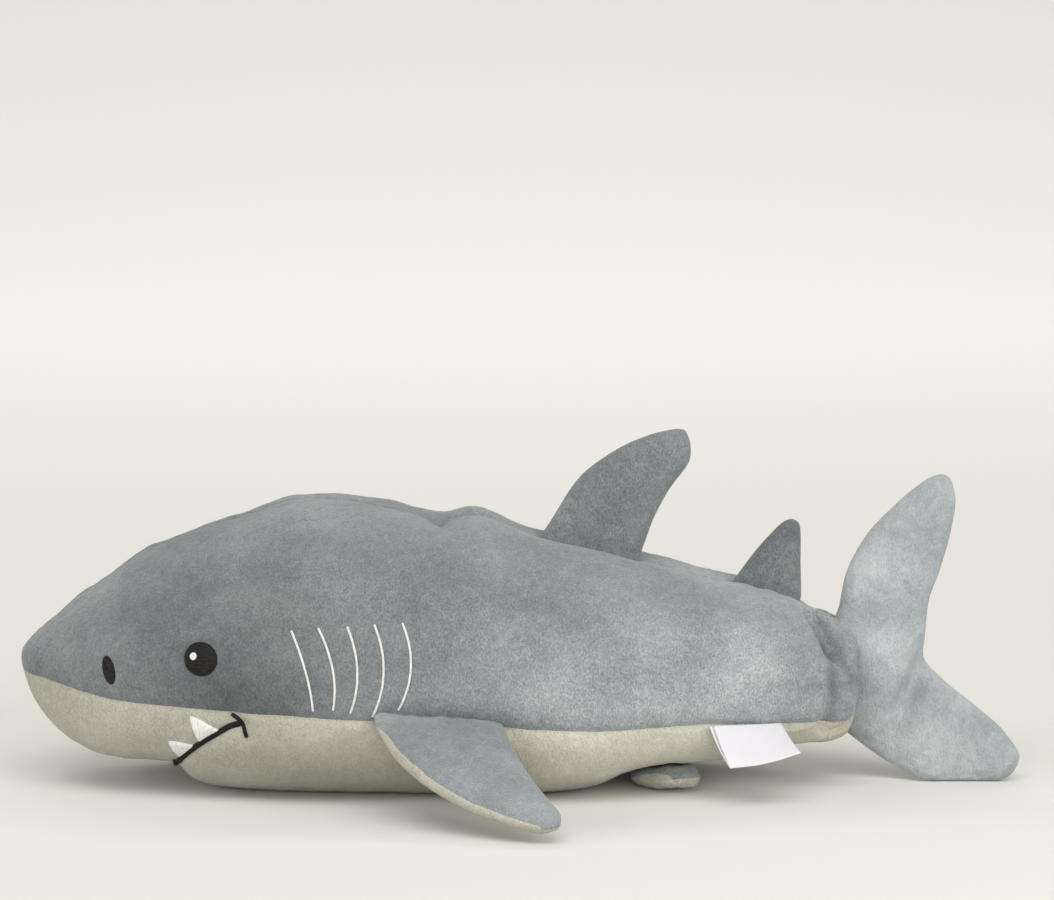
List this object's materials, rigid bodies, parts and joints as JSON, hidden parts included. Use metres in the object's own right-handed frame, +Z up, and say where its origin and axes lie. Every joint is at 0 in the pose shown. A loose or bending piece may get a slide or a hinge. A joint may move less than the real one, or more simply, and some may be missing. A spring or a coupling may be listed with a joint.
{
  "type": "plush shark",
  "caption": "Grain-filled soft plush shark lying on its belly, with stuffed fins that fold at their seams, stitched face and gills, and a care label.",
  "frame": {"origin": "centre of the bounding box's underside, on the surface the toy lies on", "axes": "+X from nose to tail, +Y to the shark's right, +Z up"},
  "size_m": [0.33, 0.2048, 0.1166],
  "materials": {
    "back_fleece": "short-pile slate grey plush fleece, brushed nap",
    "belly_fleece": "short-pile warm light grey plush fleece",
    "fin_top_fleece": "short-pile slate grey plush fleece",
    "fin_under_fleece": "short-pile warm light grey plush fleece",
    "polyester_fibre": "loose white polyester fibre",
    "liner_cotton": "plain woven unbleached cotton",
    "grain": "dry loose grain",
    "seam_thread": "matte polyester sewing thread",
    "black_embroidery": "satin-stitched black thread, soft sheen",
    "white_embroidery": "satin-stitched white thread, soft sheen",
    "label_satin": "white woven satin ribbon"
  },
  "bodies": {
    "trunk": {"back_panel_left": "back_fleece", "back_panel_right": "back_fleece", "back_seam_thread": "seam_thread", "belly_panel": "belly_fleece", "eye_glint_left": "white_embroidery", "eye_glint_right": "white_embroidery", "eye_left": "black_embroidery", "eye_right": "black_embroidery", "flank_seam_thread": "seam_thread", "gill_stitching_left": "white_embroidery", "gill_stitching_right": "white_embroidery", "grain_fill": "grain", "liner_bag": "liner_cotton", "mouth_corner_left": "black_embroidery", "mouth_corner_right": "black_embroidery", "mouth_stitching": "black_embroidery", "nose_stuffing": "polyester_fibre", "nostril_left": "black_embroidery", "nostril_right": "black_embroidery", "tail_stock_stuffing": "polyester_fibre", "tooth_front_left": "white_embroidery", "tooth_front_right": "white_embroidery", "tooth_rear_left": "white_embroidery", "tooth_rear_right": "white_embroidery"},
    "care_label": {"care_label": "label_satin"},
    "dorsal_fin": {"dorsal_fin_panel_left": "fin_top_fleece", "dorsal_fin_panel_right": "fin_top_fleece", "dorsal_fin_stuffing": "polyester_fibre"},
    "pectoral_left": {"pectoral_left_stuffing": "polyester_fibre", "pectoral_left_under_panel": "fin_under_fleece", "pectoral_left_upper_panel": "fin_top_fleece"},
    "pectoral_right": {"pectoral_right_stuffing": "polyester_fibre", "pectoral_right_under_panel": "fin_under_fleece", "pectoral_right_upper_panel": "fin_top_fleece"},
    "pelvic_left": {"pelvic_left_stuffing": "polyester_fibre", "pelvic_left_under_panel": "fin_under_fleece", "pelvic_left_upper_panel": "fin_top_fleece"},
    "pelvic_right": {"pelvic_right_stuffing": "polyester_fibre", "pelvic_right_under_panel": "fin_under_fleece", "pelvic_right_upper_panel": "fin_top_fleece"},
    "second_dorsal_fin": {"second_dorsal_fin_panel_left": "fin_top_fleece", "second_dorsal_fin_panel_right": "fin_top_fleece", "second_dorsal_fin_stuffing": "polyester_fibre"},
    "tail_fin": {"tail_fin_panel_left": "fin_top_fleece", "tail_fin_panel_right": "fin_top_fleece", "tail_fin_stuffing": "polyester_fibre"}
  },
  "joints": [
    {"name": "pectoral_left_fold", "type": "hinge", "parent": "trunk", "child": "pectoral_left", "pos_m": [-0.0465, -0.05782, 0.03], "axis": [-0.9997, 0, 0.0262], "range_deg": [0, 95], "stiffness_Nm_per_rad": 0.01},
    {"name": "pectoral_right_fold", "type": "hinge", "parent": "trunk", "child": "pectoral_right", "pos_m": [-0.0465, 0.05782, 0.03], "axis": [0.9997, 0, -0.0262], "range_deg": [0, 95], "stiffness_Nm_per_rad": 0.01},
    {"name": "pelvic_left_fold", "type": "hinge", "parent": "trunk", "child": "pelvic_left", "pos_m": [0.0365, -0.014, 0.0029], "axis": [-0.9994, 0, -0.0349], "range_deg": [-7, 5], "stiffness_Nm_per_rad": 0.004},
    {"name": "pelvic_right_fold", "type": "hinge", "parent": "trunk", "child": "pelvic_right", "pos_m": [0.0365, 0.014, 0.0029], "axis": [0.9994, 0, 0.0349], "range_deg": [-7, 5], "stiffness_Nm_per_rad": 0.004},
    {"name": "dorsal_fin_fold", "type": "hinge", "parent": "trunk", "child": "dorsal_fin", "pos_m": [0.00907, 0, 0.08818], "axis": [0.9736, 0, -0.2284], "range_deg": [-75, 75], "stiffness_Nm_per_rad": 0.01},
    {"name": "second_dorsal_fin_fold", "type": "hinge", "parent": "trunk", "child": "second_dorsal_fin", "pos_m": [0.0747, 0, 0.071], "axis": [0.9455, 0, -0.3256], "range_deg": [-75, 75], "stiffness_Nm_per_rad": 0.004},
    {"name": "tail_fin_swing", "type": "hinge", "parent": "trunk", "child": "tail_fin", "pos_m": [0.1109, 0, 0.035], "axis": [0, 0, 1], "range_deg": [-50, 50], "stiffness_Nm_per_rad": 0.02},
    {"name": "care_label_flip", "type": "hinge", "parent": "trunk", "child": "care_label", "pos_m": [0.07505, -0.04163, 0.0248], "axis": [-1, 0, 0], "range_deg": [-35, 60], "stiffness_Nm_per_rad": 0.0003}
  ]
}
